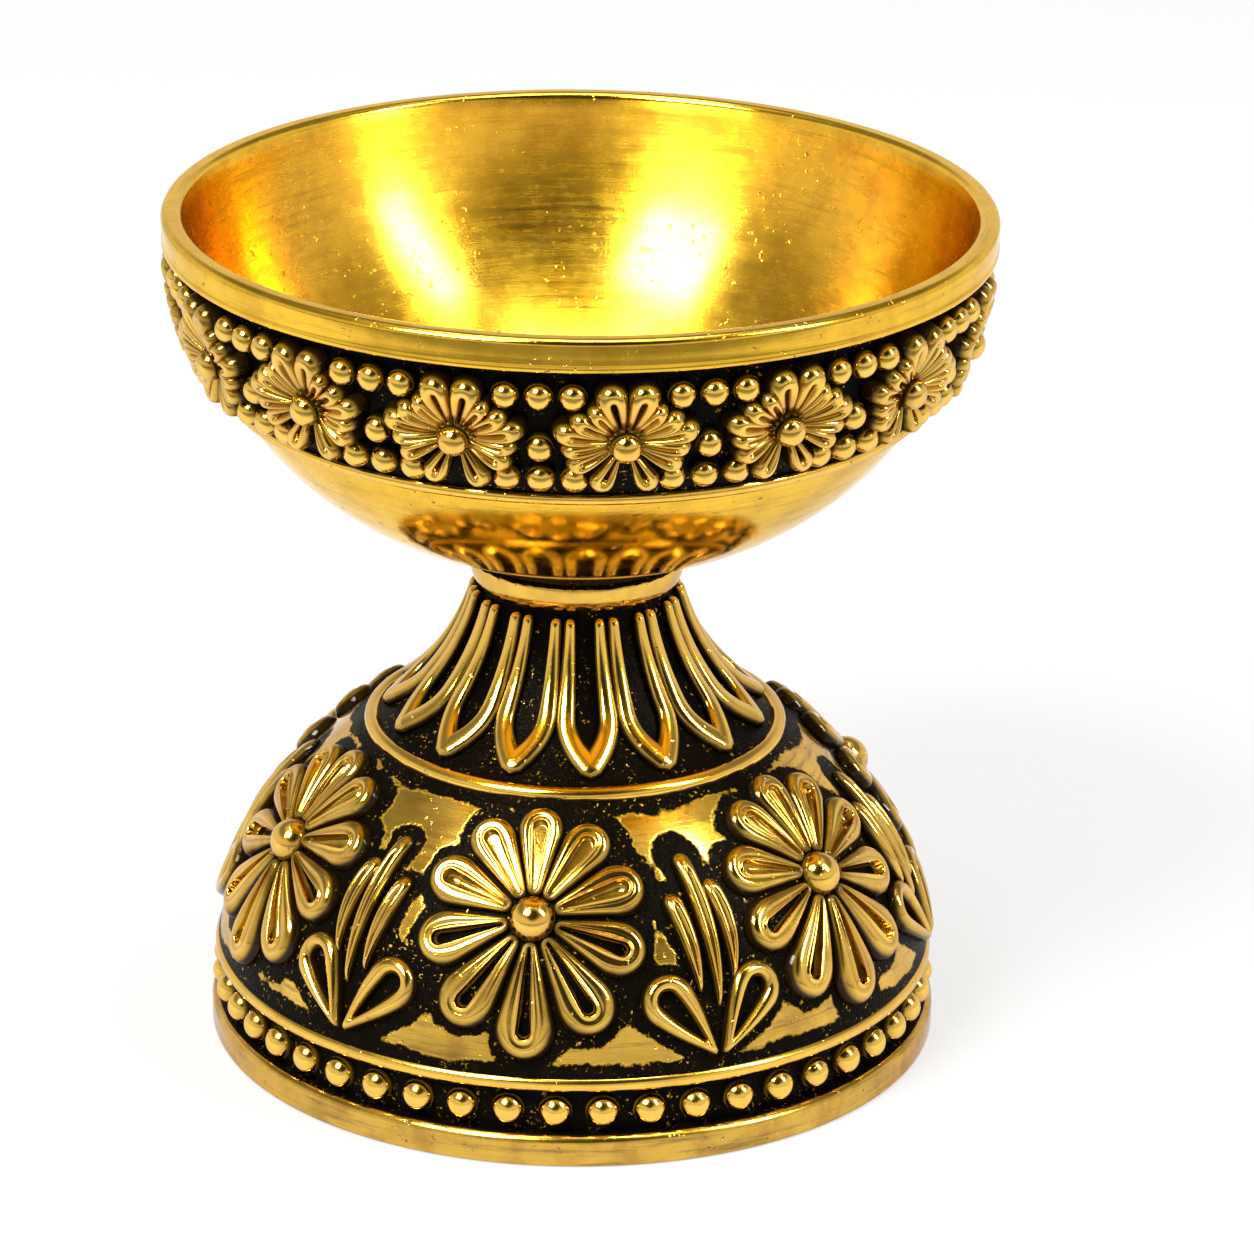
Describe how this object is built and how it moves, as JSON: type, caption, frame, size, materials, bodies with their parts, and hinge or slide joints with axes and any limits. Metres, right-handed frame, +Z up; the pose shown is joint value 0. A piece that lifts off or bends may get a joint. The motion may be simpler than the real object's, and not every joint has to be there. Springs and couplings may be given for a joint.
{
  "type": "footed oil lamp",
  "caption": "Small footed oil lamp: a round bowl on a flared neck and a domed foot, dressed with florets, leaf sprigs, granules and wire petals; it holds oil and a wick",
  "frame": {"origin": "middle of the foot, where it meets the table", "axes": "+Z up along the axis of the lamp, -Y towards the front of the picture, +X to its right"},
  "size_m": [0.0483, 0.0482, 0.0508],
  "materials": {
    "bowl_brass": "brushed round the axis, satin, with small dark specks and black patina in the flower band",
    "pedestal_brass": "black patina with worn brass showing through between the ornaments",
    "wire_brass": "polished, with patina along the edges",
    "bead_brass": "polished balls, dark where they meet the wall",
    "floret_brass": "polished on the high parts, black patina in the grooves"
  },
  "bodies": {
    "root": {"bowl": "bowl_brass", "pedestal": "pedestal_brass", "collar": "wire_brass", "girdle_wire": "wire_brass", "shoulder_wire": "wire_brass", "foot_wire": "wire_brass", "bowl_beads": "bead_brass", "foot_beads": "bead_brass", "bowl_flower_1": "floret_brass", "bowl_flower_2": "floret_brass", "bowl_flower_3": "floret_brass", "bowl_flower_4": "floret_brass", "bowl_flower_5": "floret_brass", "bowl_flower_6": "floret_brass", "bowl_flower_7": "floret_brass", "bowl_flower_8": "floret_brass", "bowl_flower_9": "floret_brass", "bowl_flower_10": "floret_brass", "bowl_flower_11": "floret_brass", "bowl_flower_12": "floret_brass", "bowl_flower_13": "floret_brass", "bowl_flower_14": "floret_brass", "bowl_flower_15": "floret_brass", "dome_flower_1": "floret_brass", "dome_flower_2": "floret_brass", "dome_flower_3": "floret_brass", "dome_flower_4": "floret_brass", "dome_flower_5": "floret_brass", "dome_flower_6": "floret_brass", "leaf_sprig_1": "floret_brass", "leaf_sprig_2": "floret_brass", "leaf_sprig_3": "floret_brass", "leaf_sprig_4": "floret_brass", "leaf_sprig_5": "floret_brass", "leaf_sprig_6": "floret_brass", "neck_petal_1": "floret_brass", "neck_petal_2": "floret_brass", "neck_petal_3": "floret_brass", "neck_petal_4": "floret_brass", "neck_petal_5": "floret_brass", "neck_petal_6": "floret_brass", "neck_petal_7": "floret_brass", "neck_petal_8": "floret_brass", "neck_petal_9": "floret_brass", "neck_petal_10": "floret_brass", "neck_petal_11": "floret_brass", "neck_petal_12": "floret_brass", "neck_petal_13": "floret_brass", "neck_petal_14": "floret_brass", "neck_petal_15": "floret_brass"}
  },
  "joints": []
}
